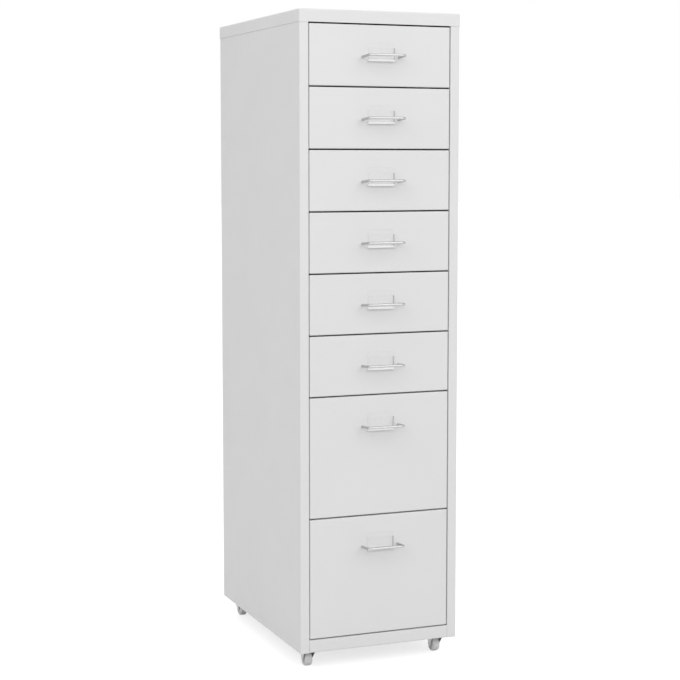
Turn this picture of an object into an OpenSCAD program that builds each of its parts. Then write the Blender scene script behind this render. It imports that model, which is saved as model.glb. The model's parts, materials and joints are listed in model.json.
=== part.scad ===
// Tall, narrow sheet-steel drawer cabinet on four small swivel casters.
// Shallow drawers above and deep ones below close flush in the front frame, with no rails
// between them. Each has a bright wire bow handle round a clear label holder.
// Millimetres. +Z is up and the drawer fronts face -Y. The origin is on the floor, under the
// middle of the whole object's box, handles included.

/* [Cabinet] */
// Width over the top cap
cab_w = 284; // [240:1:340]
// Depth over the top cap
cab_d = 415; // [380:1:500]
// Thickness of the steel sheet
sheet_t = 0.8; // [0.6:0.1:1]
// Outer radius of the folded edges
bend_r = 1.6; // [1.3:0.1:2.4]
// Height of the top cap's skirt
cap_h = 21; // [16:0.5:28]
// Height of the rail below the lowest drawer
rail_h = 21; // [16:0.5:28]
// How far the rail's face is set back from the posts' faces
rail_set = 0.8; // [0:0.1:2]
// Depth of the lips folded back along the top of the rail and of the flange behind it
rail_lip = 9; // [6:0.5:12]
// Width of each front post
post_w = 15.8; // [13:0.2:20]
// Depth of the lips folded back along the posts
lip_d = 10; // [7:0.5:12]

/* [Drawers] */
// Number of shallow drawers
small_drawers = 6; // [2:1:6]
// Number of deep drawers
large_drawers = 2; // [1:1:2]
// Height of a shallow drawer's front
small_front_h = 98.9; // [85:0.1:130]
// Height of a deep drawer's front
large_front_h = 199.7; // [150:0.1:240]
// Gap above and below each front
gap_z = 1.9; // [1.2:0.1:3]
// Gap between a front and each post
gap_x = 1.4; // [1:0.1:2.2]
// Depth of the edges folded back round a front
front_lip = 14; // [8:0.5:18]
// Gap between a tray's side and the post in front of it
tray_side_gap = 4.4; // [4:0.1:7]
// Height of a tray's bottom above its front's lower edge
tray_lift = 6; // [4:0.5:10]
// Distance from a front's upper edge down to its tray's rim
tray_drop = 9; // [5:0.5:16]
// Gap between a tray's back and the cabinet's rear lips
tray_rear_gap = 4; // [2:0.5:30]
// Height of the hem folded over a tray's rim
hem_h = 8; // [5:0.5:12]
// How far a drawer pulls out
drawer_travel = 300; // [200:1:310]

/* [Runners] */
// Thickness of the runner steel
runner_t = 1; // [0.8:0.1:1.4]
// Width of the ledge under a tray
ledge_w = 10; // [7:0.5:16]
// Height of the riser beside a tray
riser_h = 12; // [9:0.5:16]
// Height of the flange welded to the side panel
weld_h = 10; // [7:0.5:12]
// Running gap under a tray
ledge_gap = 0.3; // [0.2:0.05:0.6]
// Running gap beside a tray
riser_gap = 0.6; // [0.4:0.05:1]

/* [Handles] */
// Diameter of the handle wire
wire_d = 4.4; // [3.6:0.1:6]
// Distance between a handle's legs
leg_span = 64; // [60:1:96]
// Distance from a front to the middle of the handle's bar
handle_reach = 30; // [24:0.5:40]
// How far the bar stands above the legs' roots
handle_rise = 2; // [0:0.5:5]
// Radius of the wire's bends, at its middle
wire_bend_r = 7; // [5:0.5:10]
// Distance from a front's upper edge down to the legs' roots
handle_drop = 51.5; // [44:0.5:56]
// Outer diameter of the threaded studs
stud_d = 3.8; // [3:0.1:4]
// Length of the studs behind the front's outer face
stud_l = 6.6; // [5.8:0.1:9]

/* [Label holders] */
// Width of a label holder
label_w = 46.8; // [40:0.2:50]
// Height of its back leaf above the legs' roots
leaf_up = 23.3; // [19:0.1:28]
// Depth of the holder below the legs' roots
label_down = 7.1; // [5:0.1:10]
// Height of its window above the legs' roots
window_up = 14.7; // [10:0.1:17]
// How far the holder stands off the front
label_depth = 4; // [3.2:0.1:6]
// Thickness of its leaf, window and side walls
label_wall = 1; // [0.8:0.1:1.2]
// Height of the solid strip along its foot
label_foot = 3.4; // [1.5:0.1:5]
// Radius of the leaf's upper corners
leaf_r = 5; // [2:0.5:6]

/* [Casters] */
// Height from the floor to the underside of the cabinet
caster_h = 31; // [30:0.5:36]
// Diameter of the wheels
wheel_d = 24; // [20:0.5:24]
// Width of the wheels
wheel_w = 13; // [9:0.5:14]
// Distance from the swivel's axis to the wheel's axis
trail = 9; // [7:0.5:10]
// Distance from the cabinet's side to each swivel's axis
caster_in_x = 25; // [22:0.5:32]
// Distance from the cabinet's front and back to each swivel's axis
caster_in_y = 28; // [28:0.5:40]
// Side of the square mounting plates
plate_w = 30; // [30:0.5:34]
// Thickness of the mounting plates
plate_t = 1.5; // [1.2:0.1:2]
// Distance between the mounting holes
hole_pitch = 22; // [22:0.5:24]
// Diameter of the kingpin
kingpin_d = 5; // [4:0.1:6]
// Diameter of the axle
axle_d = 4; // [3:0.1:4.5]
// Thickness of the fork's steel
fork_t = 1.2; // [1:0.1:1.5]

/* [Fasteners] */
// Diameter of the rivets' shanks
rivet_d = 3.2; // [2.4:0.1:3.4]
// Number of rivets down each edge of the back panel
back_rivets = 5; // [3:1:8]

/* [Hidden] */
$fn = 48;
drawers = small_drawers + large_drawers;
casters = 4;

// Clearances
fit_gap = 0.05;
seam_gap = 0.4;
fork_gap = 0.3;
wheel_gap = 0.6;
stop_gap = 0.3;

// Rivets
head_h = 1.2;
rivet_head_r = 0.9*rivet_d;
rivet_bulb_r = 0.7*rivet_d;
rivet_bulb_h = 2;

// Plan: the handles reach past the cap, and the back's rivets a little, and the origin is midway
handle_out = handle_reach + wire_d/2 - sheet_t;
rivet_out = head_h - sheet_t;
front_y = (handle_out - rivet_out - cab_d)/2;
post_y = front_y + sheet_t;
rear_y = front_y + cab_d - 2*sheet_t;
side_x = cab_w/2 - sheet_t;
web_x = side_x - sheet_t;
open_x = side_x - post_w;
rivet_x = side_x - post_w/2;

// Heights
base_z = caster_h;
top_z = base_z + rail_h + gap_z + cap_h
      + small_drawers*(small_front_h + gap_z)
      + large_drawers*(large_front_h + gap_z);
cap_r = bend_r + sheet_t;
panel_top_z = top_z - cap_r - seam_gap;

// Drawers
front_w = 2*(open_x - gap_x);
tray_x = open_x - tray_side_gap;
tray_y = post_y + sheet_t;
tray_rear_y = rear_y - lip_d - tray_rear_gap;
tray_l = tray_rear_y - tray_y;
stop_w = tray_side_gap + 3.6;
stop_h = 14;
stop_z = riser_h + weld_h + 6;
stop_y = post_y + lip_d + drawer_travel + stop_gap;

// Runners
runner_y = post_y + front_lip + 2;
runner_l = rear_y - lip_d - 1 - runner_y;

// Handles and their nuts
handle_slant = atan(handle_rise/handle_reach);
handle_leg = norm([handle_reach, handle_rise]);
nut_af = 1.84*stud_d;
nut_h = 0.84*stud_d;
nut_y = post_y + 2*sheet_t;

// Label holder's flared lip
lip_rise = 2;
lip_flare = 1;

// Casters, from the plate down
raceway_h = 1.6;
raceway_r = kingpin_d/2 + 5.5;
crown_top_z = base_z - plate_t - raceway_h - fork_gap;
crown_z = crown_top_z - fork_t;
axle_z = wheel_d/2;
fork_w = wheel_w + 2*wheel_gap + 2*fork_t;
fork_end_r = axle_d/2 + 2.5;
kingpin_head_r = kingpin_d/2 + 1.4;
axle_head_r = axle_d/2 + 1.2;
axle_head_h = 0.9;
hub_r = axle_d/2 + 2.6;
rim_r = wheel_d/2 - 3;
tread_r = 3.4;
dish = 1.4;

paint = "#dfe0dd";
zinc = "#b9bcbc";
bright = "#d9dcdf";
clear_plastic = [0.92, 0.94, 0.95, 0.45];
wheel_grey = "#a6a8a8";

// Drawer i counts from the top: its front's height, its upper edge and its lower edge
function front_h(i) = i <= small_drawers ? small_front_h : large_front_h;
function front_top(i) = top_z - cap_h - gap_z
    - min(i - 1, small_drawers)*(small_front_h + gap_z)
    - max(i - 1 - small_drawers, 0)*(large_front_h + gap_z);
function front_z(i) = front_top(i) - front_h(i);
function handle_z(i) = front_top(i) - handle_drop;
function tray_z(i) = front_z(i) + tray_lift;
function tray_h(i) = front_h(i) - tray_lift - tray_drop;

// Caster i: 1 and 2 are at the front, 3 and 4 at the back, the odd ones on the left
function caster_x(i) = (i % 2 == 1 ? -1 : 1)*(cab_w/2 - caster_in_x);
function caster_y(i) = i <= 2 ? front_y + caster_in_y : front_y + cab_d - caster_in_y;
function caster_turn(i) = i <= 2 ? 0 : 180;

// Rectangle about the origin with four round corners
module round_rect(w, h, r) {
    square([w - 2*r, h], center = true);
    square([w, h - 2*r], center = true);
    for (x = [-1, 1], y = [-1, 1])
        translate([x*(w/2 - r), y*(h/2 - r)]) circle(r = r);
}

// Rectangle from y = 0 to y = d, with the two corners at y = 0 round
module round_front(w, d, r) {
    translate([-w/2, r]) square([w, d - r]);
    translate([r - w/2, 0]) square([w - 2*r, d]);
    for (x = [-1, 1])
        translate([x*(w/2 - r), r]) circle(r = r);
}

// Block w x d x h with its face at y = 0, whose edges are all round but those at the back
module round_block(w, d, h, r) {
    intersection() {
        linear_extrude(h, center = true) round_front(w, d, r);
        rotate([0, 90, 0]) linear_extrude(w, center = true) round_front(h, d, r);
        rotate([-90, 0, 0]) linear_extrude(d) round_rect(w, h, r);
    }
}

// Folded sheet pan: its face is at y = 0 and it opens towards +Y
module pan(w, d, h, r) {
    difference() {
        round_block(w, d, h, r);
        translate([0, sheet_t, 0])
            round_block(w - 2*sheet_t, d, h - 2*sheet_t, r - sheet_t);
    }
}

// Places children at each end of a handle, on the front's outer face
module at_legs(i) {
    for (x = [-1, 1])
        translate([x*leg_span/2, post_y, handle_z(i)]) children();
}

// Holes for the two studs of a handle
module stud_holes(i) {
    at_legs(i) rotate([90, 0, 0]) cylinder(d = stud_d + 2*fit_gap, h = 6*sheet_t, center = true);
}

// Places children at the four holes of caster i's plate, on the cabinet's underside
module at_plate_holes(i) {
    for (x = [-1, 1], y = [-1, 1])
        translate([caster_x(i) + x*hole_pitch/2, caster_y(i) + y*hole_pitch/2, base_z]) children();
}

// Places children at each rivet of the back panel, on its outer face and pointing inwards
module at_back_rivets() {
    for (x = [-1, 1], k = [1:back_rivets])
        translate([x*rivet_x, rear_y + sheet_t, base_z + (k - 0.5)*(panel_top_z - base_z)/back_rivets])
            rotate([90, 0, 0]) children();
}

// Blind rivet along +Z: its head is below z = 0, and its bulb grips the far side
module rivet(grip) {
    translate([0, 0, -head_h]) cylinder(r = rivet_head_r, h = head_h);
    cylinder(d = rivet_d, h = grip + rivet_bulb_h);
    translate([0, 0, grip]) cylinder(r = rivet_bulb_r, h = rivet_bulb_h);
}

module rivet_hole() {
    cylinder(d = rivet_d + 2*fit_gap, h = 8*sheet_t, center = true);
}

// Top cap: a pan turned upside down, whose skirt laps the tops of the panels
module top_cap() {
    color(paint)
        translate([0, front_y + cab_d/2, top_z])
            rotate([-90, 0, 0]) pan(cab_w, cap_h, cab_d, cap_r);
}

// Right side panel: a channel whose front flange is the post, with lips folded back inside
module side_panel() {
    difference() {
        translate([side_x - post_w/2, (post_y + rear_y)/2, base_z])
            linear_extrude(panel_top_z - base_z)
                difference() {
                    round_rect(post_w, rear_y - post_y, bend_r);
                    round_rect(post_w - 2*sheet_t, rear_y - post_y - 2*sheet_t, bend_r - sheet_t);
                    translate([-post_w/2, 0])
                        square([4*sheet_t, rear_y - post_y - 2*lip_d], center = true);
                }
        at_back_rivets() rivet_hole();
    }
}

module side_panel_right() {
    color(paint) side_panel();
}

module side_panel_left() {
    color(paint) mirror([1, 0, 0]) side_panel();
}

// Back panel: a flat sheet riveted to the rear flanges, with its top under the cap's skirt
module back_panel() {
    back_x = side_x - cap_r;
    color(paint)
        difference() {
            translate([-back_x, rear_y, base_z])
                cube([2*back_x, sheet_t, panel_top_z - base_z]);
            at_back_rivets() rivet_hole();
        }
}

// Bottom panel: its front flange is the rail between the posts, and it carries the casters.
// A tab at each of its corners closes the foot of a post
module bottom_panel() {
    rail_x = open_x - seam_gap;
    rail_y = post_y + rail_set;
    wing_y = post_y + lip_d + seam_gap;
    wing_l = rear_y - lip_d - seam_gap - wing_y;
    foot_x = open_x + sheet_t + seam_gap;
    foot_y = post_y + sheet_t + seam_gap;
    foot_l = rear_y - sheet_t - seam_gap - foot_y;
    color(paint)
        difference() {
            union() {
                translate([0, (rail_y + rear_y)/2, base_z + rail_h/2])
                    rotate([90, 0, 90]) linear_extrude(2*rail_x, center = true)
                        difference() {
                            round_rect(rear_y - rail_y, rail_h, bend_r);
                            round_rect(rear_y - rail_y - 2*sheet_t, rail_h - 2*sheet_t, bend_r - sheet_t);
                            translate([0, rail_h/2])
                                square([rear_y - rail_y - 2*rail_lip, 4*sheet_t], center = true);
                        }
                for (m = [0, 1]) mirror([m, 0, 0]) {
                    translate([rail_x - bend_r, wing_y, base_z])
                        cube([web_x - rail_x + bend_r, wing_l, sheet_t]);
                    translate([web_x - sheet_t, wing_y, base_z])
                        cube([sheet_t, wing_l, rail_h - bend_r]);
                    translate([foot_x, foot_y, base_z])
                        cube([web_x - seam_gap - foot_x, foot_l, sheet_t]);
                }
            }
            for (i = [1:casters]) at_plate_holes(i) rivet_hole();
        }
}

// Runners: one under each side of each tray, folded as weld flange, shelf, riser and ledge
module runners() {
    riser_x = tray_x + riser_gap;
    color(zinc)
        for (i = [1:drawers], m = [0, 1])
            mirror([m, 0, 0])
                translate([0, runner_y + runner_l, tray_z(i) - ledge_gap - runner_t])
                    rotate([90, 0, 0]) linear_extrude(runner_l) {
                        translate([tray_x - ledge_w, 0])
                            square([riser_x + runner_t - tray_x + ledge_w, runner_t]);
                        translate([riser_x, 0]) square([runner_t, riser_h]);
                        translate([riser_x, riser_h - runner_t])
                            square([web_x - riser_x, runner_t]);
                        translate([web_x - runner_t, riser_h - runner_t])
                            square([runner_t, weld_h]);
                    }
}

// Front of drawer i: a folded pan with holes for the handle's studs
module drawer_front(i) {
    color(paint)
        difference() {
            translate([0, post_y, front_z(i) + front_h(i)/2])
                pan(front_w, front_lip, front_h(i), bend_r);
            stud_holes(i);
        }
}

// Tray of drawer i: its front wall lies against the front, and a tab on each side stops it
module drawer_tray(i) {
    rim_z = tray_z(i) + tray_h(i);
    hem_y = tray_y + bend_r;
    color(paint)
        difference() {
            union() {
                translate([0, tray_y + tray_l/2, tray_z(i)])
                    rotate([90, 0, 0]) pan(2*tray_x, tray_h(i), tray_l, bend_r);
                for (m = [0, 1]) mirror([m, 0, 0]) {
                    translate([tray_x - sheet_t/2, hem_y, rim_z - hem_h])
                        cube([1.5*sheet_t, tray_l - 2*bend_r, hem_h]);
                    translate([tray_x - sheet_t/2, stop_y, tray_z(i) + stop_z])
                        cube([stop_w + sheet_t/2, sheet_t, stop_h]);
                }
            }
            stud_holes(i);
        }
}

// Handle of drawer i: one wire with two legs, two bends and a bar, and a stud on each leg
module handle(i) {
    bar_x = leg_span/2 - wire_bend_r;
    color(bright) {
        translate([0, post_y, handle_z(i)])
            difference() {
                rotate([-handle_slant, 0, 0]) {
                    for (m = [0, 1]) mirror([m, 0, 0]) {
                        translate([leg_span/2, wire_bend_r - handle_leg, 0])
                            rotate([-90, 0, 0]) cylinder(d = wire_d, h = handle_leg);
                        translate([bar_x, wire_bend_r - handle_leg, 0])
                            rotate([0, 0, -90]) rotate_extrude(angle = 90)
                                translate([wire_bend_r, 0]) circle(d = wire_d);
                    }
                    translate([-bar_x, -handle_leg, 0])
                        rotate([0, 90, 0]) cylinder(d = wire_d, h = 2*bar_x);
                }
                translate([-leg_span, 0, -leg_span/2]) cube([2*leg_span, leg_span, leg_span]);
            }
        at_legs(i)
            translate([0, -sheet_t, 0])
                rotate([-90, 0, 0]) cylinder(d = stud_d, h = stud_l + sheet_t);
    }
}

// Nuts on the two studs of handle i, against the tray's front wall
module handle_nuts(i) {
    color(zinc)
        at_legs(i)
            translate([0, nut_y - post_y, 0])
                rotate([-90, 0, 0])
                    difference() {
                        cylinder(d = nut_af/cos(30), h = nut_h, $fn = 6);
                        translate([0, 0, -1]) cylinder(d = stud_d + 2*fit_gap, h = nut_h + 2);
                    }
}

// Label holder of drawer i: a back leaf, a solid foot, and a window with a flared upper lip
module label_holder(i) {
    pocket_h = window_up + label_down;
    color(clear_plastic)
        translate([0, post_y, handle_z(i) - label_down]) {
            rotate([90, 0, 0]) linear_extrude(label_wall) {
                translate([-label_w/2, 0]) square([label_w, leaf_up + label_down - leaf_r]);
                translate([leaf_r - label_w/2, 0]) square([label_w - 2*leaf_r, leaf_up + label_down]);
                for (x = [-1, 1])
                    translate([x*(label_w/2 - leaf_r), leaf_up + label_down - leaf_r])
                        circle(r = leaf_r);
            }
            difference() {
                translate([-label_w/2, -label_depth, 0]) cube([label_w, label_depth, pocket_h]);
                translate([label_wall - label_w/2, label_wall - label_depth, label_foot])
                    cube([label_w - 2*label_wall, label_depth - 2*label_wall, pocket_h]);
            }
            translate([-label_w/2, -label_depth, pocket_h])
                rotate([90, 0, 90]) linear_extrude(label_w)
                    polygon([[0, -lip_rise], [-lip_flare, 0], [0, 0], [label_wall, -lip_rise]]);
        }
}

// Mounting plates of the casters, each with a raceway under it and a riveted kingpin
module caster_plates() {
    color(zinc)
        for (i = [1:casters]) {
            difference() {
                union() {
                    translate([caster_x(i), caster_y(i), base_z - plate_t])
                        linear_extrude(plate_t) round_rect(plate_w, plate_w, 2);
                    translate([caster_x(i), caster_y(i), base_z - plate_t - raceway_h])
                        cylinder(r = raceway_r, h = raceway_h + plate_t/2);
                }
                at_plate_holes(i) rivet_hole();
                translate([caster_x(i), caster_y(i), crown_z])
                    cylinder(d = kingpin_d + 2*fit_gap, h = base_z - crown_z + 1);
            }
            translate([caster_x(i), caster_y(i), crown_z - fork_gap - head_h]) {
                cylinder(r = kingpin_head_r, h = head_h);
                cylinder(d = kingpin_d, h = base_z - crown_z + fork_gap + head_h);
            }
        }
}

// Places children in caster i's own frame: the swivel's axis is at x = y = 0, the wheel at +Y
module at_caster(i) {
    translate([caster_x(i), caster_y(i), 0]) rotate([0, 0, caster_turn(i)]) children();
}

// Fork of caster i: a crown with a bore for the kingpin, and a tapering leg on each side
module caster_fork(i) {
    leg_y = raceway_r;
    color(zinc)
        at_caster(i)
            difference() {
                union() {
                    translate([0, 0, crown_z]) cylinder(r = raceway_r, h = fork_t);
                    translate([-fork_w/2, -leg_y/2, crown_z]) cube([fork_w, trail + leg_y/2, fork_t]);
                    for (m = [0, 1]) mirror([m, 0, 0])
                        translate([fork_w/2 - fork_t, 0, 0])
                            rotate([90, 0, 90]) linear_extrude(fork_t) {
                                polygon([
                                    [-leg_y/2, crown_z + fork_t], [-leg_y/2, crown_z - 2],
                                    [trail - fork_end_r, axle_z], [trail + fork_end_r, axle_z],
                                    [trail + fork_end_r, crown_z - 2], [trail, crown_z + fork_t]
                                ]);
                                translate([trail, axle_z]) circle(r = fork_end_r);
                            }
                }
                translate([0, 0, crown_z - 1]) cylinder(d = kingpin_d + 2*fit_gap, h = fork_t + 2);
                translate([0, trail, axle_z])
                    rotate([0, 90, 0]) cylinder(d = axle_d + 2*fit_gap, h = 2*fork_w, center = true);
            }
}

// Axle of caster i, with a head outside each leg
module caster_axle(i) {
    color(bright)
        at_caster(i)
            translate([0, trail, axle_z]) rotate([0, 90, 0]) {
                cylinder(d = axle_d, h = fork_w + 2*axle_head_h, center = true);
                for (z = [-1, 1])
                    translate([0, 0, z*(fork_w + axle_head_h)/2])
                        cylinder(r = axle_head_r, h = axle_head_h, center = true);
            }
}

// Wheel of caster i: a tread with round shoulders, dished on both sides round its hub
module caster_wheel(i) {
    color(wheel_grey)
        at_caster(i)
            translate([0, trail, axle_z]) rotate([0, 90, 0])
                difference() {
                    rotate_extrude()
                        intersection() {
                            round_rect(wheel_d, wheel_w, tread_r);
                            translate([0, -wheel_w/2]) square([wheel_d/2, wheel_w]);
                        }
                    for (m = [0, 1]) mirror([0, 0, m])
                        translate([0, 0, wheel_w/2 - dish])
                            difference() {
                                cylinder(r = rim_r, h = dish + 1);
                                translate([0, 0, -1]) cylinder(r = hub_r, h = dish + 3);
                            }
                    cylinder(d = axle_d + 2.4*fit_gap, h = wheel_w + 2, center = true);
                }
}

// Rivets: four through each caster's plate, and a row down each side of the back panel
module rivets() {
    color(zinc) {
        for (i = [1:casters])
            at_plate_holes(i) translate([0, 0, -plate_t]) rivet(plate_t + sheet_t);
        at_back_rivets() rivet(2*sheet_t);
    }
}

top_cap();
side_panel_left();
side_panel_right();
back_panel();
bottom_panel();
runners();
caster_plates();
rivets();
for (i = [1:drawers]) {
    drawer_front(i);
    drawer_tray(i);
    handle(i);
    handle_nuts(i);
    label_holder(i);
}
for (i = [1:casters]) {
    caster_fork(i);
    caster_axle(i);
    caster_wheel(i);
}
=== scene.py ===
import json
import math

import bmesh
import bpy
from mathutils import Matrix, Vector


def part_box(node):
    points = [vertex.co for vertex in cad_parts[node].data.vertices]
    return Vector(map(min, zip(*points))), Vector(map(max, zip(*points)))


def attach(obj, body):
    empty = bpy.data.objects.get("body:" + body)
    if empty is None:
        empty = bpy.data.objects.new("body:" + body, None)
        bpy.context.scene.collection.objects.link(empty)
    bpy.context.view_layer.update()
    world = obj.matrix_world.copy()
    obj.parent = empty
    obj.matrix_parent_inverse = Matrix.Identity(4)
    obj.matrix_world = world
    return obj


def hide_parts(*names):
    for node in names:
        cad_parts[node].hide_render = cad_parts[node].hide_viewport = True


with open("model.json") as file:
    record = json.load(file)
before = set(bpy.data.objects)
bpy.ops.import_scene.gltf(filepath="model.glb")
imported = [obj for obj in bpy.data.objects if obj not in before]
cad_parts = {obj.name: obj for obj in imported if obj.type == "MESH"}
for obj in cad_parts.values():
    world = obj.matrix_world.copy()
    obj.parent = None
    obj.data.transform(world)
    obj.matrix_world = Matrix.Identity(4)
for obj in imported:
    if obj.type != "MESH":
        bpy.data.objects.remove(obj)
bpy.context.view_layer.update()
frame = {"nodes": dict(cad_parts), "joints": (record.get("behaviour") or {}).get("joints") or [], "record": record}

MM = 0.001
IMAGE = 680
SENSOR = 36.0

nodes = frame["nodes"]
record = frame["record"]
joints = {joint["name"]: joint for joint in frame["joints"]}
body_of = {node: body for body, members in record["behaviour"]["bodies"].items()
           for node in members}
slot_of = {part["node"]: part["material_slot"] for part in record["subparts"]}
DRAWERS = sum(name.startswith("drawer_front_") for name in nodes)
CASTERS = sum(name.startswith("caster_fork_") for name in nodes)

# Sizes in millimetres that the boxes of the nodes don't give: the cabinet's sheets
SHEET = 0.8
BEND = 1.6
CAP_BEND = 2.4
LIP = 10.0
RAIL_LIP = 9.0
SEAM = 0.4
RAIL_SEAM = 0.15
HAIR = 0.05
WELD = 2.3

# Its runners
RUNNER_SHEET = 1.0
LEDGE = 10.0
RISER = 12.0
RUNNER_FLANGE = 10.0
RUN_GAP = 0.3
SIDE_GAP = 0.6
RUNNER_WELDS = 5

# Drawer trays and fronts. A front is trimmed above and below and hangs a little to the left, as its
# gaps in the photo show.
HEM = 8.0
FLAP = 14.0
STOP_OUT = 8.0
STOP_TALL = 14.0
STOP_UP = 28.0
STOP_Y = 119.1
WELD_PITCH = 32.0
FRONT_TRIM = 0.2
FRONT_ASIDE = 0.3

# Handles and their nuts
WIRE = 4.4
WIRE_BEND = 7.0
STUD = 3.8
STUD_PITCH = 0.7
STUD_PLAY = 0.05
NUT_WIDE = 7.0
NUT_TALL = 3.2
NUT_CHAMFER = 0.4
NUT_FACE = 0.97

# Label holders
LABEL_WALL = 1.0
LABEL_DEPTH = 4.0
LABEL_POCKET = 21.8
LABEL_LIP = 2.0
LABEL_FOOT = 3.4
LABEL_CORNER = 5.0
ADHESIVE = 0.15

# Casters and rivets
PLATE = 30.0
PLATE_THICK = 1.5
PLATE_CORNER = 2.0
HOLE_PITCH = 22.0
RACEWAY = 8.0
RACEWAY_TALL = 1.6
KINGPIN = 5.0
FORK_SHEET = 1.2
FORK_PLAY = 0.3
FORK_BEND = 2.2
FORK_FLARE = 2.4
FORK_TIP = 0.3
FORK_SHOULDER = 2.0
CROWN_ROUND = 0.7
AXLE = 4.0
AXLE_PLAY = 0.06
HUB_WALL = 2.6
TREAD_CORNER = 3.2
DISH = 1.4
RIVET = 3.2
RIVET_HEAD = 1.2
BACK_RIVETS = 5

# Points in an arc or round a ring
ARC = 8
HOLE_ROUND = 20
WIRE_ARC = 12
WIRE_ROUND = 28
NUT_ROUND = 36
THREAD_ROUND = 20
RINGS_A_TURN = 6


def box(node):
    """A node's lowest and highest corners, in millimetres."""
    low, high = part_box(node)
    return low / MM, high / MM


# ---------------------------------------------------------------- materials

def material(name):
    """A new material, its tree and its Principled shader."""
    mat = bpy.data.materials.new(name)
    mat.use_nodes = True
    tree = mat.node_tree
    return mat, tree, tree.nodes["Principled BSDF"]


def noise(tree, coords, scale, detail=2.0):
    """Noise on the object's own coordinates, in features per metre."""
    node = tree.nodes.new("ShaderNodeTexNoise")
    node.inputs["Scale"].default_value = scale
    node.inputs["Detail"].default_value = detail
    tree.links.new(coords, node.inputs["Vector"])
    return node.outputs["Fac"]


def ramp(tree, source, low, high, at=(0.3, 0.7)):
    """Maps a noise value to a range."""
    node = tree.nodes.new("ShaderNodeMapRange")
    node.inputs["From Min"].default_value, node.inputs["From Max"].default_value = at
    node.inputs["To Min"].default_value, node.inputs["To Max"].default_value = low, high
    tree.links.new(source, node.inputs["Value"])
    return node.outputs["Result"]


def tint(tree, shader, value, tone):
    """Sets a grey, multiplied by a value, as the base colour."""
    node = tree.nodes.new("ShaderNodeVectorMath")
    node.operation = "SCALE"
    node.inputs[0].default_value = (tone, tone, tone)
    tree.links.new(value, node.inputs["Scale"])
    tree.links.new(node.outputs["Vector"], shader.inputs["Base Color"])


def rough(tree, shader, value):
    tree.links.new(value, shader.inputs["Roughness"])


def bump(tree, shader, height, strength, distance):
    node = tree.nodes.new("ShaderNodeBump")
    node.inputs["Strength"].default_value = strength
    node.inputs["Distance"].default_value = distance * MM
    tree.links.new(height, node.inputs["Height"])
    tree.links.new(node.outputs["Normal"], shader.inputs["Normal"])


def object_coords(tree):
    return tree.nodes.new("ShaderNodeTexCoord").outputs["Object"]


def mixed(tree, a, b, share):
    node = tree.nodes.new("ShaderNodeMix")
    node.inputs["Factor"].default_value = share
    tree.links.new(a, node.inputs["A"])
    tree.links.new(b, node.inputs["B"])
    return node.outputs["Result"]


def powder_coat(name, tone):
    """Light grey powder coat: a fine orange peel, with faint cloudiness in tone and gloss."""
    mat, tree, shader = material(name)
    coords = object_coords(tree)
    cloud = ramp(tree, noise(tree, coords, 7.0, 3.0), 0.985, 1.015)
    speck = ramp(tree, noise(tree, coords, 1600.0, 1.0), 0.97, 1.03)
    tint(tree, shader, mixed(tree, cloud, speck, 0.35), tone)
    rough(tree, shader, ramp(tree, noise(tree, coords, 40.0, 3.0), 0.42, 0.52))
    peel = mixed(tree, noise(tree, coords, 750.0, 1.0), noise(tree, coords, 2200.0, 1.0), 0.4)
    bump(tree, shader, peel, 0.2, 0.1)
    return mat


def bright_metal(name, tone, gloss, grain):
    """Plated steel: gloss is its range of roughness, and grain the depth of its bump in mm."""
    mat, tree, shader = material(name)
    coords = object_coords(tree)
    tint(tree, shader, ramp(tree, noise(tree, coords, 260.0, 3.0), 0.92, 1.06), tone)
    rough(tree, shader, ramp(tree, noise(tree, coords, 600.0, 2.0), *gloss))
    bump(tree, shader, noise(tree, coords, 1200.0, 2.0), 0.1, grain)
    shader.inputs["Metallic"].default_value = 1.0
    return mat


def clear_plastic(name, tone, cover):
    """Clear moulded plastic; cover is how much of what is behind it the plastic hides."""
    mat, tree, shader = material(name)
    coords = object_coords(tree)
    tint(tree, shader, ramp(tree, noise(tree, coords, 60.0), 0.97, 1.02), tone)
    rough(tree, shader, ramp(tree, noise(tree, coords, 500.0), 0.08, 0.16))
    shader.inputs["Alpha"].default_value = cover
    shader.inputs["IOR"].default_value = 1.49
    return mat


def moulded_plastic(name, tone):
    mat, tree, shader = material(name)
    coords = object_coords(tree)
    tint(tree, shader, ramp(tree, noise(tree, coords, 250.0, 3.0), 0.92, 1.06), tone)
    rough(tree, shader, ramp(tree, noise(tree, coords, 900.0, 2.0), 0.42, 0.58))
    bump(tree, shader, noise(tree, coords, 3000.0, 2.0), 0.15, 0.05)
    return mat


finish_of = {
    "painted_sheet": powder_coat("painted_sheet", 0.76),
    "chrome_wire": bright_metal("chrome_wire", 0.5, (0.07, 0.14), 0.02),
    "zinc_steel": bright_metal("zinc_steel", 0.52, (0.3, 0.46), 0.05),
    "clear_plastic": clear_plastic("clear_plastic", 0.95, 0.014),
    "wheel_plastic": moulded_plastic("wheel_plastic", 0.74),
}
# Painted shade: a label holder's edge and top faces are darker and less clear than its flat faces, standing in for
# the dark look that refraction gives the edges of clear plastic
CLEAR_PAINTED_SHADE_EDGES = clear_plastic("clear_plastic_painted_shade_edges", 0.6, 0.08)
# Painted shade: the right-hand side walls of a label pocket are darker and less clear, standing in for the dark
# edge that refracted light shows on that side
CLEAR_PAINTED_SHADE_SIDE = clear_plastic("clear_plastic_painted_shade_side", 0.3, 0.4)
# Painted highlight: the clear foot is near opaque white, standing in for the light that its rounded bottom catches
CLEAR_PAINTED_HIGHLIGHT_FOOT = clear_plastic("clear_plastic_painted_highlight_foot", 0.98, 0.92)

# Where a label holder's mesh has these painted materials, after its slot's own material: painted shade on its
# edges, painted shade on the right-hand side walls of its pocket, and a painted highlight on its foot
PAINTED_SHADE_EDGES, PAINTED_SHADE_SIDE, PAINTED_HIGHLIGHT_FOOT = 1, 2, 3

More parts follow.
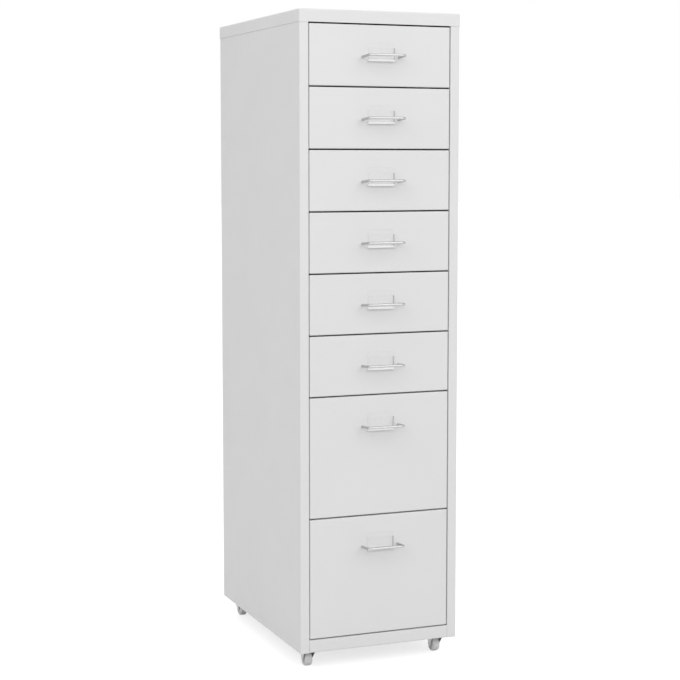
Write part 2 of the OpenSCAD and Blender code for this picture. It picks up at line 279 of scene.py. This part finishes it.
for name, obj in nodes.items():
    obj.data.materials.clear()
    obj.data.materials.append(finish_of[slot_of[name]])


# ---------------------------------------------------------------- mesh building, in millimetres

# A cut edge starts at a share EASED of the sheet's thickness, and is full after a share EASE of it
EASE = 0.22
EASED = 0.6
STRAIGHT = 1e-6
SHARP = math.radians(35)


def axes(u, v, w, at=(0, 0, 0)):
    """The matrix that puts (u, v, w) along three directions from a point."""
    matrix = Matrix((u, v, w)).transposed().to_4x4()
    matrix.translation = at
    return matrix


def side_of(way):
    return Vector((-way.y, way.x))


def fold(path, thick, bend, steps=5):
    """Samples (point, normal) along the middle line of a folded sheet, with an arc at each corner.
    A corner may give its own outer bend radius as a third number."""
    points = [Vector(p[:2]) for p in path]
    radii = [(p[2] if len(p) > 2 else bend) - thick / 2 for p in path]
    ways = [(b - a).normalized() for a, b in zip(points, points[1:])]
    samples = [(points[0], side_of(ways[0]))]
    for before, corner, radius, after in zip(ways, points[1:], radii[1:], ways[1:]):
        turn = math.atan2(before.x * after.y - before.y * after.x, before.dot(after))
        side = side_of(before)
        if abs(turn) < STRAIGHT:
            samples.append((corner, side))
            continue
        hand = math.copysign(radius, turn)
        centre = corner - before * radius * math.tan(abs(turn) / 2) + side * hand
        for k in range(steps + 1):
            normal = Matrix.Rotation(turn * k / steps, 2) @ side
            samples.append((centre - normal * hand, normal))
    samples.append((points[-1], side_of(ways[-1])))
    return samples


def cut_edge(row, thick, inward):
    """The thinner end of a sheet, and its full thickness a little further in."""
    point, normal, half = row
    along = Vector((normal.y, -normal.x)) * EASE * thick * inward
    return [(point, normal, half * EASED), (point + along, normal, half)]


def eased(samples, thick, start=True):
    """Samples as (point, normal, half thickness), with eased cut edges at the ends."""
    rows = [(point, normal, thick / 2) for point, normal in samples]
    if start:
        rows = cut_edge(rows[0], thick, 1) + rows[1:]
    return rows[:-1] + cut_edge(rows[-1], thick, -1)[::-1]


def skin(bm, a, b):
    """A band of faces between two rows of as many points."""
    for k in range(len(a) - 1):
        bm.faces.new((a[k], a[k + 1], b[k + 1], b[k]))


def ribbon(bm, place, samples, thick, edges):
    """A folded strip of sheet with eased cut edges. edges is where it starts and ends along its
    folds, or a function that gives this at a point, and place puts (u, v, w) in space."""
    step = EASE * thick
    skins = ([], [])
    for point, normal, half in eased(samples, thick):
        low, high = edges(point) if callable(edges) else edges
        for side, rows in zip((1, -1), skins):
            row = []
            for w, most in ((low, EASED), (low + step, 1), (high - step, 1), (high, EASED)):
                uv = point + normal * side * min(half, most * thick / 2)
                row.append(bm.verts.new(place @ Vector((uv.x, uv.y, w))))
            rows.append(row)
    for rows in skins:
        for a, b in zip(rows, rows[1:]):
            skin(bm, a, b)
    outer, inner = skins
    for end in (0, -1):
        skin(bm, outer[end], inner[end])
        skin(bm, [row[end] for row in outer], [row[end] for row in inner])


def loft(bm, rings, loop=False):
    """Skin over closed rings of as many points, with a face at each end or closed on itself."""
    rows = [[bm.verts.new(p) for p in ring] for ring in rings]
    for a, b in zip(rows, rows[1:] + rows[:1] if loop else rows[1:]):
        skin(bm, a + a[:1], b + b[:1])
    if not loop:
        bm.faces.new(rows[0])
        bm.faces.new(rows[-1])


def round_rect(w, h, r, steps=6):
    """Points round a rectangle with round corners, about the origin."""
    ring = []
    for k, (sx, sy) in enumerate(((1, 1), (-1, 1), (-1, -1), (1, -1))):
        x, y = sx * (w / 2 - r), sy * (h / 2 - r)
        for s in range(steps + 1):
            turn = math.radians(90 * (k + s / steps))
            ring.append((x + r * math.cos(turn), y + r * math.sin(turn)))
    return ring


def circle(r, steps, at=(0, 0)):
    return [(at[0] + r * math.cos(math.tau * k / steps), at[1] + r * math.sin(math.tau * k / steps))
            for k in range(steps)]


def lathe(bm, place, profile, steps, loop=False):
    """A turned piece: profile holds (radius, height) along its surface."""
    loft(bm, [[place @ Vector((x, y, z)) for x, y in circle(r, steps)] for r, z in profile], loop)


def slab(bm, place, outline, low, high, ease):
    """A flat piece with eased edges. outline(inset) gives its ring of points."""
    rings = ((ease, low), (0, low + ease), (0, high - ease), (ease, high))
    loft(bm, [[place @ Vector((x, y, z)) for x, y in outline(inset)] for inset, z in rings])


def pan(bm, place, w, h, samples, corner, thick, holes=()):
    """A folded pan with closed corners. samples run from its flat face over the fold to its rim, as
    (inset, depth), and holes are (u, v, radius) in the flat face."""
    skins = ([], [])
    for point, normal, half in eased(samples, thick, start=False):
        for side, rows in zip((1, -1), skins):
            inset, depth = point + normal * side * half
            ring = round_rect(w - 2 * inset, h - 2 * inset, max(corner - inset, 0.02))
            rows.append([bm.verts.new(place @ Vector((u, v, depth))) for u, v in ring])
    rims = [[[bm.verts.new(place @ Vector((u, v, depth))) for u, v in circle(r, HOLE_ROUND, (x, y))]
             for x, y, r in holes] for depth in (0, thick)]
    for rows, rim in zip(skins, rims):
        for a, b in zip(rows, rows[1:]):
            skin(bm, a + a[:1], b + b[:1])
        edges = []
        for ring in [rows[0]] + rim:
            for a, b in zip(ring, ring[1:] + ring[:1]):
                edges.append(bm.edges.get((a, b)) or bm.edges.new((a, b)))
        bmesh.ops.triangle_fill(bm, edges=edges, use_beauty=True)
    outer, inner = (rows[-1] for rows in skins)
    skin(bm, outer + outer[:1], inner + inner[:1])
    for a, b in zip(*rims):
        skin(bm, a + a[:1], b + b[:1])


def weld_mark(bm, place):
    """The shallow ring that a spot weld leaves, on the face at w = 0."""
    lathe(bm, place, ((WELD, -0.3), (WELD, 0.02), (0.85 * WELD, 0.13), (0.5 * WELD, 0.05),
                      (0.1 * WELD, 0.03)), steps=16)


def link(name, data):
    obj = bpy.data.objects.new(name, data)
    bpy.context.scene.collection.objects.link(obj)
    return obj


def make(name, node, build, *more):
    """A new piece from build(bm), in the node's place, on its body and with its finish."""
    mesh = bpy.data.meshes.new(name)
    bm = bmesh.new()
    build(bm)
    bmesh.ops.scale(bm, vec=(MM, MM, MM), verts=bm.verts)
    bmesh.ops.recalc_face_normals(bm, faces=bm.faces)
    bm.to_mesh(mesh)
    bm.free()
    mesh.polygons.foreach_set("use_smooth", [True] * len(mesh.polygons))
    mesh.set_sharp_from_angle(angle=SHARP)
    for mat in (finish_of[slot_of[node]], *more):
        mesh.materials.append(mat)
    obj = link(name, mesh)
    weights = obj.modifiers.new("flat faces stay flat", "WEIGHTED_NORMAL")
    weights.keep_sharp = True
    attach(obj, body_of[node])
    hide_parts(node)


# ---------------------------------------------------------------- the cabinet's sheet metal

X, Y, Z = (1, 0, 0), (0, 1, 0), (0, 0, 1)
LEFT, DOWN, OUT = (-1, 0, 0), (0, 0, -1), (0, -1, 0)
MID = SHEET / 2
ALONG_Z = axes(X, Y, Z)
ALONG_Y = axes(X, Z, Y)
ALONG_X = axes(Y, Z, X)
MIRROR = axes(LEFT, Y, Z)

post_low, post_high = box("side_panel_right")
floor_low, floor_high = box("bottom_panel")
runner_low, runner_high = box("runners")
post_y = post_low.y
rear_y = post_high.y
base_z = post_low.z
web_x = post_high.x - SHEET
rail_x = post_low.x - RAIL_SEAM


def top_cap(bm):
    low, high = box("top_cap")
    samples = fold([(2 * CAP_BEND, MID), (MID, MID), (MID, high.z - low.z)], SHEET, CAP_BEND, ARC)
    place = axes(X, Y, DOWN, (0, (low.y + high.y) / 2, high.z))
    pan(bm, place, high.x - low.x, high.y - low.y, samples, CAP_BEND, SHEET)


def side_panel(bm, place):
    lip_x, web, front, rear = post_low.x + MID, post_high.x - MID, post_y + MID, rear_y - MID
    path = [(lip_x, post_y + LIP), (lip_x, front), (web, front), (web, rear), (lip_x, rear),
            (lip_x, rear_y - LIP)]
    ribbon(bm, place, fold(path, SHEET, BEND, ARC), SHEET, (post_low.z, post_high.z))


def back_panel(bm):
    low, high = box("back_panel")
    y = (low.y + high.y) / 2
    ribbon(bm, ALONG_Z, fold([(low.x, y), (high.x, y)], SHEET, BEND), SHEET, (low.z, high.z))


def bottom_panel(bm):
    front, rear = floor_low.y + MID, floor_high.y - MID
    deck, lip = floor_low.z + MID, floor_high.z - MID
    path = [(floor_low.y + RAIL_LIP, lip), (front, lip), (front, deck), (rear, deck), (rear, lip),
            (floor_high.y - RAIL_LIP, lip)]
    ribbon(bm, ALONG_X, fold(path, SHEET, BEND), SHEET, (-rail_x, rail_x))
    wing = (post_y + LIP + SEAM, rear_y - LIP - SEAM)
    foot = (post_y + SHEET + SEAM, rear_y - SHEET - SEAM)
    for place in (ALONG_Y, MIRROR @ ALONG_Y):
        path = [(rail_x + HAIR, deck), (web_x - MID, deck), (web_x - MID, floor_high.z - BEND)]
        ribbon(bm, place, fold(path, SHEET, BEND), SHEET, wing)
        for ends in ((foot[0], wing[0] - HAIR), (wing[1] + HAIR, foot[1])):
            path = [(post_low.x + SHEET + SEAM, deck), (web_x - SEAM, deck)]
            ribbon(bm, place, fold(path, SHEET, BEND), SHEET, ends)


def runner_pair(bm, tray):
    """Two folded ledges, with their weld marks, under the tray whose box is given."""
    half = RUNNER_SHEET / 2
    tray_x = tray[1].x - STOP_OUT
    ledge_z = tray[0].z - RUN_GAP - half
    riser_x = tray_x + SIDE_GAP + half
    shelf_z = ledge_z + RISER - RUNNER_SHEET
    top = ledge_z - half + RISER - RUNNER_SHEET + RUNNER_FLANGE
    flange_x = web_x - half
    path = [(tray_x - LEDGE, ledge_z), (riser_x, ledge_z), (riser_x, shelf_z), (flange_x, shelf_z),
            (flange_x, top)]
    for side in (ALONG_Z, MIRROR):
        ribbon(bm, side @ ALONG_Y, fold(path, RUNNER_SHEET, BEND), RUNNER_SHEET,
               (runner_low.y, runner_high.y))
        for k in range(RUNNER_WELDS):
            y = runner_low.y + (k + 0.5) / RUNNER_WELDS * (runner_high.y - runner_low.y)
            spot = axes(Y, Z, LEFT, (flange_x - half, y, (shelf_z + half + top) / 2))
            weld_mark(bm, side @ spot)


make("top_cap_sheet", "top_cap", top_cap)
make("side_panel_right_sheet", "side_panel_right", lambda bm: side_panel(bm, ALONG_Z))
make("side_panel_left_sheet", "side_panel_left", lambda bm: side_panel(bm, MIRROR))
make("back_panel_sheet", "back_panel", back_panel)
make("bottom_panel_sheet", "bottom_panel", bottom_panel)
for i in range(1, DRAWERS + 1):
    make(f"runner_pair_{i}", "runners", lambda bm: runner_pair(bm, box(f"drawer_tray_{i}")))


# ---------------------------------------------------------------- drawers

def drawer_front(bm, i):
    low, high = box(f"drawer_front_{i}")
    middle = (low.z + high.z) / 2
    samples = fold([(2 * BEND, MID), (MID, MID), (MID, high.y - low.y)], SHEET, BEND)
    wire_low, wire_high = box(f"handle_{i}")
    root_z = wire_low.z + WIRE / 2 - middle
    holes = [(side * (wire_high.x - WIRE / 2) + FRONT_ASIDE, root_z, STUD / 2 + STUD_PLAY)
             for side in (-1, 1)]
    place = axes(X, Z, Y, (-FRONT_ASIDE, low.y, middle))
    pan(bm, place, high.x - low.x, high.z - low.z - 2 * FRONT_TRIM, samples, BEND, SHEET, holes)


def drawer_tray(bm, i):
    """A hemmed channel, with a front and a back wall welded inside it and two stop tabs outside."""
    low, high = box(f"drawer_tray_{i}")
    half = high.x - STOP_OUT
    wall, deck, rim = half - MID, low.z + MID, high.z - MID
    hem = wall + SHEET + HAIR
    turn = (SHEET + HAIR + SHEET) / 2
    path = [(hem, high.z - HEM), (hem, rim, turn), (wall, rim, turn), (wall, deck)]
    path += [(-x, *rest) for x, *rest in path[::-1]]
    ribbon(bm, ALONG_Y, fold(path, SHEET, BEND), SHEET, (low.y, high.y))

    flap = half - SHEET - HAIR - MID
    shoulder = flap - 2 * BEND
    for y, inward in ((low.y + MID, 1), (high.y - MID, -1)):
        path = [(-flap, y + inward * FLAP), (-flap, y), (-shoulder, y), (shoulder, y), (flap, y),
                (flap, y + inward * FLAP)]

        def edges(point):
            lift = BEND + HAIR if abs(point.x) > shoulder + HAIR else 0
            return low.z + SHEET + HAIR + lift, high.z - 2 * HAIR

        ribbon(bm, ALONG_Z, fold(path, SHEET, BEND), SHEET, edges)

    tab = half + MID + HAIR
    welds = max(2, round((high.z - low.z) / WELD_PITCH))
    for side in (ALONG_Z, MIRROR):
        path = [(tab, STOP_Y + STOP_TALL), (tab, STOP_Y + MID), (high.x, STOP_Y + MID)]
        stop_z = low.z + STOP_UP
        ribbon(bm, side, fold(path, SHEET, BEND), SHEET, (stop_z, stop_z + STOP_TALL))
        for y in (low.y + 0.6 * FLAP, high.y - 0.6 * FLAP):
            for k in range(welds):
                z = low.z + 2 * HEM + (k + 0.5) / welds * (high.z - low.z - 4 * HEM)
                weld_mark(bm, side @ axes(Y, Z, X, (half, y, z)))


def wire_bow(bm, corners, bend, thick, cut_y):
    """Round wire bent at its inner corners, with both ends cut flush at y = cut_y."""
    ways = [(b - a).normalized() for a, b in zip(corners, corners[1:])]
    across = ways[0].cross(ways[1]).normalized()
    line = [(corners[0], ways[0])]
    for before, corner, after in zip(ways, corners[1:], ways[1:]):
        turn = before.angle(after)
        middle = corner - before * bend * math.tan(turn / 2) + across.cross(before) * bend
        for k in range(WIRE_ARC + 1):
            way = Matrix.Rotation(turn * k / WIRE_ARC, 3, across) @ before
            line.append((middle - across.cross(way) * bend, way))
    line.append((corners[-1], ways[-1]))
    rings = []
    for k, (centre, way) in enumerate(line):
        ring = [centre + across.cross(way) * x + across * y
                for x, y in circle(thick / 2, WIRE_ROUND)]
        if k in (0, len(line) - 1):
            ring = [p - way * (p.y - cut_y) / way.y for p in ring]
        rings.append(ring)
    loft(bm, rings)


def thread(bm, place, r, pitch, length):
    """A screw thread with a chamfered end."""
    depth = 0.6 * pitch
    rings = []
    last = int(length / pitch * RINGS_A_TURN)
    for k in range(last + 1):
        z = length * k / last
        ring = []
        for s in range(THREAD_ROUND):
            share = (z / pitch - s / THREAD_ROUND) % 1
            radius = min(r - depth * abs(2 * share - 1), r - depth + 0.6 * (length - z))
            turn = math.tau * s / THREAD_ROUND
            ring.append(place @ Vector((radius * math.cos(turn), radius * math.sin(turn), z)))
        rings.append(ring)
    loft(bm, rings)


def handle(bm, i):
    low, high = box(f"handle_{i}")
    leg, bar_y = high.x - WIRE / 2, low.y + WIRE / 2
    root_z, bar_z = low.z + WIRE / 2, high.z - WIRE / 2
    corners = ((leg, post_y, root_z), (leg, bar_y, bar_z), (-leg, bar_y, bar_z),
               (-leg, post_y, root_z))
    wire_bow(bm, [Vector(p) for p in corners], WIRE_BEND, WIRE, post_y)
    for side in (-1, 1):
        thread(bm, axes(X, Z, Y, (side * leg, post_y + HAIR, root_z)), STUD / 2, STUD_PITCH,
               high.y - post_y - HAIR)


def hex_ring(wide, most):
    """Points round a hexagon, none further out than most."""
    ring = []
    for k in range(NUT_ROUND):
        turn = math.tau * k / NUT_ROUND
        flat = (turn + math.pi / 6) % (math.pi / 3) - math.pi / 6
        r = min(wide / 2 / math.cos(flat), most)
        ring.append((r * math.cos(turn), r * math.sin(turn)))
    return ring


def handle_nuts(bm, i):
    low, high = box(f"handle_nuts_{i}")
    corner = NUT_WIDE / 2 / math.cos(math.pi / 6)
    bore = STUD / 2 + STUD_PLAY
    rim = NUT_TALL - NUT_CHAMFER
    face, full = hex_ring(NUT_WIDE, NUT_FACE * NUT_WIDE / 2), hex_ring(NUT_WIDE, corner)
    mouth, hole = circle(bore + NUT_CHAMFER, NUT_ROUND), circle(bore, NUT_ROUND)
    rings = [(0, face), (NUT_CHAMFER, full), (rim, full), (NUT_TALL, face),
             (NUT_TALL, mouth), (rim, hole), (NUT_CHAMFER, hole), (0, mouth)]
    for x in (low.x + corner, high.x - corner):
        place = axes(X, Z, Y, (x, low.y, (low.z + high.z) / 2))
        rows = [[place @ Vector((u, v, z)) for u, v in ring] for z, ring in rings]
        loft(bm, rows, loop=True)


def label_holder(bm, i):
    """A clear pocket with a solid foot and a flared lip, and a back leaf with round corners."""
    low, high = box(f"label_holder_{i}")
    wide = high.x - low.x
    back = high.y - ADHESIVE
    place = axes(X, Y, Z, (0, back - LABEL_DEPTH / 2, low.z))
    front = -LABEL_DEPTH / 2
    flare = back - low.y - LABEL_DEPTH
    steps = (LABEL_LIP, 1.3, 0.7, 0.15)
    outer = [(0.3, 0), (0, 0.3), (0, LABEL_FOOT)]
    outer += [(0, LABEL_POCKET - z) for z in steps] + [(0.15, LABEL_POCKET)]
    inner = [(LABEL_WALL - 0.15, LABEL_POCKET)]
    inner += [(LABEL_WALL, LABEL_POCKET - z) for z in steps[::-1]]
    inner += [(LABEL_WALL, LABEL_FOOT + 0.2), (LABEL_WALL + 0.2, LABEL_FOOT)]
    rings = []
    for inset, z in outer + inner:
        ring = []
        for x, y in round_rect(wide - 2 * inset, LABEL_DEPTH - 2 * inset, max(0.6 - inset, 0.1), 4):
            lean = max(0, (z - LABEL_POCKET + LABEL_LIP) / LABEL_LIP) ** 1.5 * flare
            near_front = y < front + LABEL_WALL + 0.3
            ring.append(place @ Vector((x, y - lean * near_front, z)))
        rings.append(ring)
    loft(bm, rings)

    leaf_top = high.z - low.z

    def leaf(inset):
        half, r = wide / 2 - inset, LABEL_CORNER - inset
        ring = [(-half, LABEL_POCKET + HAIR + inset), (half, LABEL_POCKET + HAIR + inset)]
        for side in (1, -1):
            for k in range(ARC + 1):
                turn = math.radians(90 * (k if side > 0 else ARC - k) / ARC)
                ring.append((side * (half - r + r * math.cos(turn)),
                             leaf_top - LABEL_CORNER + r * math.sin(turn)))
        return ring

    slab(bm, axes(X, Z, OUT, (0, back, low.z)), leaf, 0, LABEL_WALL, 0.2)
    bmesh.ops.recalc_face_normals(bm, faces=bm.faces)
    for face in bm.faces:
        middle = face.calc_center_median()
        beside = abs(face.normal.x) > 0.6
        # Painted highlight on the foot strip
        if middle.z < low.z + LABEL_FOOT:
            face.material_index = PAINTED_HIGHLIGHT_FOOT
        # Painted shade on the right-hand side walls of the pocket only
        elif beside and middle.x > 0 and middle.z < low.z + LABEL_POCKET:
            face.material_index = PAINTED_SHADE_SIDE
        # Painted shade on the other side faces and the upward faces
        elif beside or face.normal.z > 0.6:
            face.material_index = PAINTED_SHADE_EDGES


for i in range(1, DRAWERS + 1):
    make(f"drawer_front_{i}_sheet", f"drawer_front_{i}", lambda bm: drawer_front(bm, i))
    make(f"drawer_tray_{i}_sheet", f"drawer_tray_{i}", lambda bm: drawer_tray(bm, i))
    make(f"handle_{i}_wire", f"handle_{i}", lambda bm: handle(bm, i))
    make(f"handle_nuts_{i}_hex", f"handle_nuts_{i}", lambda bm: handle_nuts(bm, i))
    make(f"label_holder_{i}_moulding", f"label_holder_{i}", lambda bm: label_holder(bm, i),
         CLEAR_PAINTED_SHADE_EDGES, CLEAR_PAINTED_SHADE_SIDE, CLEAR_PAINTED_HIGHLIGHT_FOOT)


# ---------------------------------------------------------------- casters and rivets

def caster_frame(i):
    """Caster i's own frame, its trail and its axle's height. The frame has the swivel at x = y = 0,
    the floor at z = 0 and the wheel towards +Y."""
    swivel = Vector(joints[f"caster_{i}_swivel"]["pos_m"]) / MM
    axle = Vector(joints[f"wheel_{i}_spin"]["pos_m"]) / MM
    side = math.copysign(1, axle.y - swivel.y)
    place = axes((side, 0, 0), (0, side, 0), Z, (swivel.x, swivel.y, 0))
    return place, abs(axle.y - swivel.y), axle.z


def caster_plate(bm, i):
    """A plate with round corners, the pressed raceway under it, and the kingpin with its head."""
    place = caster_frame(i)[0]
    top = base_z - PLATE_THICK
    low = top - RACEWAY_TALL
    r, head = KINGPIN / 2, low - FORK_PLAY - FORK_SHEET - FORK_PLAY

    def plate(inset):
        return round_rect(PLATE - 2 * inset, PLATE - 2 * inset, PLATE_CORNER - inset)

    slab(bm, place, plate, top, base_z, 0.25)
    lathe(bm, place, ((RACEWAY, top + 0.2), (RACEWAY, low + 0.9), (RACEWAY - 0.25, low + 0.35),
                      (RACEWAY - 0.9, low), (r + 1, low), (r + 0.6, low + 0.3)), steps=40)
    lathe(bm, place, ((0.5, head - 1.2), (r + 0.3, head - 1.15), (r + 1.1, head - 0.8),
                      (r + 1.4, head - 0.35), (r + 1.4, head), (r, head), (r, base_z - 0.2),
                      (r - 0.2, base_z)), steps=32)


def caster_fork(bm, i):
    """One pressed strip: a round crown over two tapering legs that draw in towards the axle."""
    place, trail, axle_z = caster_frame(i)
    low, high = box(f"caster_fork_{i}")
    half = (high.x - low.x) / 2 - FORK_SHEET / 2
    crown = high.z - FORK_SHEET / 2
    end = axle_z - low.z
    shoulder = high.z - FORK_SHEET - FORK_SHOULDER
    wide = half + FORK_FLARE
    legs = [(wide - FORK_FLARE * share, shoulder - share * (shoulder - axle_z))
            for share in (0, 0.25, 0.5, 0.75, 1)]
    legs += [(half, axle_z - end * math.sin(math.radians(a))) for a in (15, 30, 45, 60, 88)]
    tops = [(wide * k / 5, crown) for k in (4, 3, 2, 1, 0, -1, -2, -3, -4)]
    path = legs[::-1] + [(wide, crown, FORK_BEND)] + tops + [(-wide, crown, FORK_BEND)]
    path += [(-x, z) for x, z in legs]

    def edges(point):
        """Where the strip starts and ends: round the axle, down a leg, or across the crown."""
        if point.y < axle_z:
            reach = math.sqrt(max(end ** 2 - (axle_z - point.y) ** 2, FORK_TIP ** 2))
            return trail - reach, trail + reach
        slope = max(0, (shoulder - point.y) / (shoulder - axle_z))
        back = -RACEWAY / 2 + (trail - end + RACEWAY / 2) * slope
        if crown - point.y < CROWN_ROUND:
            back = min(back, -math.sqrt(max(RACEWAY ** 2 - point.x ** 2, 0)))
        return back, trail + end * min(1, (crown - point.y) / (crown - shoulder))

    ribbon(bm, place @ ALONG_Y, fold(path, FORK_SHEET, FORK_BEND), FORK_SHEET, edges)


def turned_axle(bm, i):
    place, trail, axle_z = caster_frame(i)
    low, high = box(f"caster_axle_{i}")
    r, end = AXLE / 2, (high.x - low.x) / 2
    flat = end - 0.9
    half = [(0.4, end), (r + 0.2, end - 0.05), (r + 1.0, end - 0.3), (r + 1.2, end - 0.65),
            (r + 1.2, flat), (r, flat)]
    profile = [(x, -z) for x, z in half] + half[::-1]
    lathe(bm, place @ axes(Y, Z, X, (0, trail, axle_z)), profile, steps=28)


def caster_wheel(bm, i):
    """A moulded wheel: round shoulders, a fine parting line, and a dish round the hub."""
    place, trail, axle_z = caster_frame(i)
    low, high = box(f"caster_wheel_{i}")
    r, side = (high.z - low.z) / 2, (high.x - low.x) / 2
    bore, hub = AXLE / 2 + AXLE_PLAY, AXLE / 2 + HUB_WALL
    rim, deep = r - TREAD_CORNER - 0.4, side - DISH
    half = [(bore, side - 0.3), (bore + 0.3, side), (hub - 0.3, side), (hub, side - 0.3),
            (hub, deep + 0.3), (hub + 0.3, deep), (rim - 0.4, deep), (rim, deep + 0.4),
            (rim, side - 0.25), (rim + 0.2, side - 0.08)]
    for k in range(ARC + 1):
        turn = math.radians(90 * k / ARC)
        half.append((r - TREAD_CORNER + TREAD_CORNER * math.sin(turn),
                     side - TREAD_CORNER + TREAD_CORNER * math.cos(turn)))
    half.append((r, 0.12))
    profile = half + [(r - 0.07, 0)] + [(x, -z) for x, z in half[::-1]]
    lathe(bm, place @ axes(Y, Z, X, (0, trail, axle_z)), profile, steps=56, loop=True)


def rivet(bm, place, grip):
    """A blind rivet: a domed head with the mandrel's recess in it, and a bulb on the far side."""
    r, head = RIVET / 2, 0.9 * RIVET
    bulb = 0.7 * RIVET
    lathe(bm, place, ((0.15, -0.45), (0.75, -0.5), (0.9, -RIVET_HEAD + 0.1), (1.2, -RIVET_HEAD),
                      (0.72 * head, -0.8 * RIVET_HEAD), (0.95 * head, -0.4 * RIVET_HEAD),
                      (head, -0.1), (head, 0), (r, 0), (r, grip), (bulb, grip + 0.3),
                      (bulb, grip + 1.2), (r, grip + 1.8), (0.5, grip + 2)), steps=20)


def rivets(bm):
    """Four rivets through each caster's plate, and a column down each edge of the back panel."""
    high = box("back_panel")[1]
    out = HOLE_PITCH / 2
    for i in range(1, CASTERS + 1):
        place = caster_frame(i)[0]
        for x in (-out, out):
            for y in (-out, out):
                spot = Matrix.Translation((x, y, base_z - PLATE_THICK))
                rivet(bm, place @ spot, PLATE_THICK + SHEET)
    rivet_x = (post_low.x + post_high.x) / 2
    for x in (-rivet_x, rivet_x):
        for k in range(BACK_RIVETS):
            z = base_z + (k + 0.5) * (high.z - base_z) / BACK_RIVETS
            rivet(bm, axes(X, Z, OUT, (x, high.y, z)), 2 * SHEET)


make("rivets_domed", "rivets", rivets)
for i in range(1, CASTERS + 1):
    make(f"caster_plate_{i}", "caster_plates", lambda bm: caster_plate(bm, i))
    make(f"caster_fork_{i}_pressed", f"caster_fork_{i}", lambda bm: caster_fork(bm, i))
    make(f"caster_axle_{i}_turned", f"caster_axle_{i}", lambda bm: turned_axle(bm, i))
    make(f"caster_wheel_{i}_moulded", f"caster_wheel_{i}", lambda bm: caster_wheel(bm, i))


# ---------------------------------------------------------------- stage

FLOOR_HALF = 30.0
FLOOR_TONE = 0.55
FLOOR_LIFT = 0.68
WORLD_LEVEL = 0.755


def seen_rays(tree):
    """1 for rays from the camera, off glossy surfaces and through clear ones, 0 for the rest."""
    path = tree.nodes.new("ShaderNodeLightPath")
    total = path.outputs["Is Camera Ray"]
    for kind in ("Is Glossy Ray", "Is Transmission Ray"):
        both = tree.nodes.new("ShaderNodeMath")
        both.operation = "MAXIMUM"
        tree.links.new(total, both.inputs[0])
        tree.links.new(path.outputs[kind], both.inputs[1])
        total = both.outputs[0]
    return total


def floor():
    """A pale floor. Seen directly it is lifted to the background's white, and keeps the shadow."""
    mesh = bpy.data.meshes.new("floor")
    corners = [(x * FLOOR_HALF, y * FLOOR_HALF, 0) for x, y in ((-1, -1), (1, -1), (1, 1), (-1, 1))]
    mesh.from_pydata(corners, [], [(0, 1, 2, 3)])
    mat, tree, shader = material("floor_white")
    tint(tree, shader, ramp(tree, noise(tree, object_coords(tree), 3.0), 0.995, 1.005), FLOOR_TONE)
    shader.inputs["Roughness"].default_value = 0.9
    shader.inputs["Specular IOR Level"].default_value = 0.1
    shader.inputs["Emission Color"].default_value = (1, 1, 1, 1)
    glow = ramp(tree, seen_rays(tree), 0, FLOOR_LIFT, (0, 1))
    tree.links.new(glow, shader.inputs["Emission Strength"])
    mesh.materials.append(mat)
    link("floor", mesh)


def surroundings(strength):
    """Even white surroundings, seen as pure white, that light the object more softly."""
    world = bpy.data.worlds.new("studio")
    world.use_nodes = True
    tree = world.node_tree
    background = tree.nodes["Background"]
    background.inputs["Color"].default_value = (1, 1, 1, 1)
    level = ramp(tree, seen_rays(tree), strength, 1, (0, 1))
    tree.links.new(level, background.inputs["Strength"])
    bpy.context.scene.world = world


def softbox(name, place, aim, width, height, power):
    light = bpy.data.lights.new(name, "AREA")
    light.shape = "RECTANGLE"
    light.size, light.size_y, light.energy = width, height, power
    obj = link(name, light)
    obj.location = place
    obj.rotation_euler = (Vector(aim) - Vector(place)).to_track_quat("-Z", "Y").to_euler()


floor()
surroundings(WORLD_LEVEL)
softbox("key", (0.9, -3.6, 2.6), (0, 0, 0.8), 3.0, 2.4, 36)
softbox("fill", (-2.2, -2.6, 2.4), (0, 0, 0.8), 2.6, 2.6, 33)
softbox("top", (0, 0.3, 3.4), (0, 0, 0.5), 2.6, 2.6, 7)


# ---------------------------------------------------------------- camera

FOCAL_PIXELS = 1682.0
SHIFT_PIXELS = 16.0
CAMERA_AT = (-1.087, -2.730, 0.838)
YAW, PITCH = math.radians(21.80), math.radians(5.48)
SEE_THROUGH = 32

lens = bpy.data.cameras.new("camera")
lens.sensor_width = SENSOR
lens.lens = FOCAL_PIXELS * SENSOR / IMAGE
lens.shift_y = -SHIFT_PIXELS / IMAGE
camera = link("camera", lens)
camera.location = CAMERA_AT
level = math.cos(PITCH)
looking = Vector((math.sin(YAW) * level, math.cos(YAW) * level, -math.sin(PITCH)))
camera.rotation_euler = looking.to_track_quat("-Z", "Y").to_euler()
bpy.context.scene.camera = camera
bpy.context.scene.view_settings.view_transform = "Standard"

# Light passes every wall of a clear label pocket, on its way in and out again
bpy.context.scene.cycles.transparent_max_bounces = SEE_THROUGH
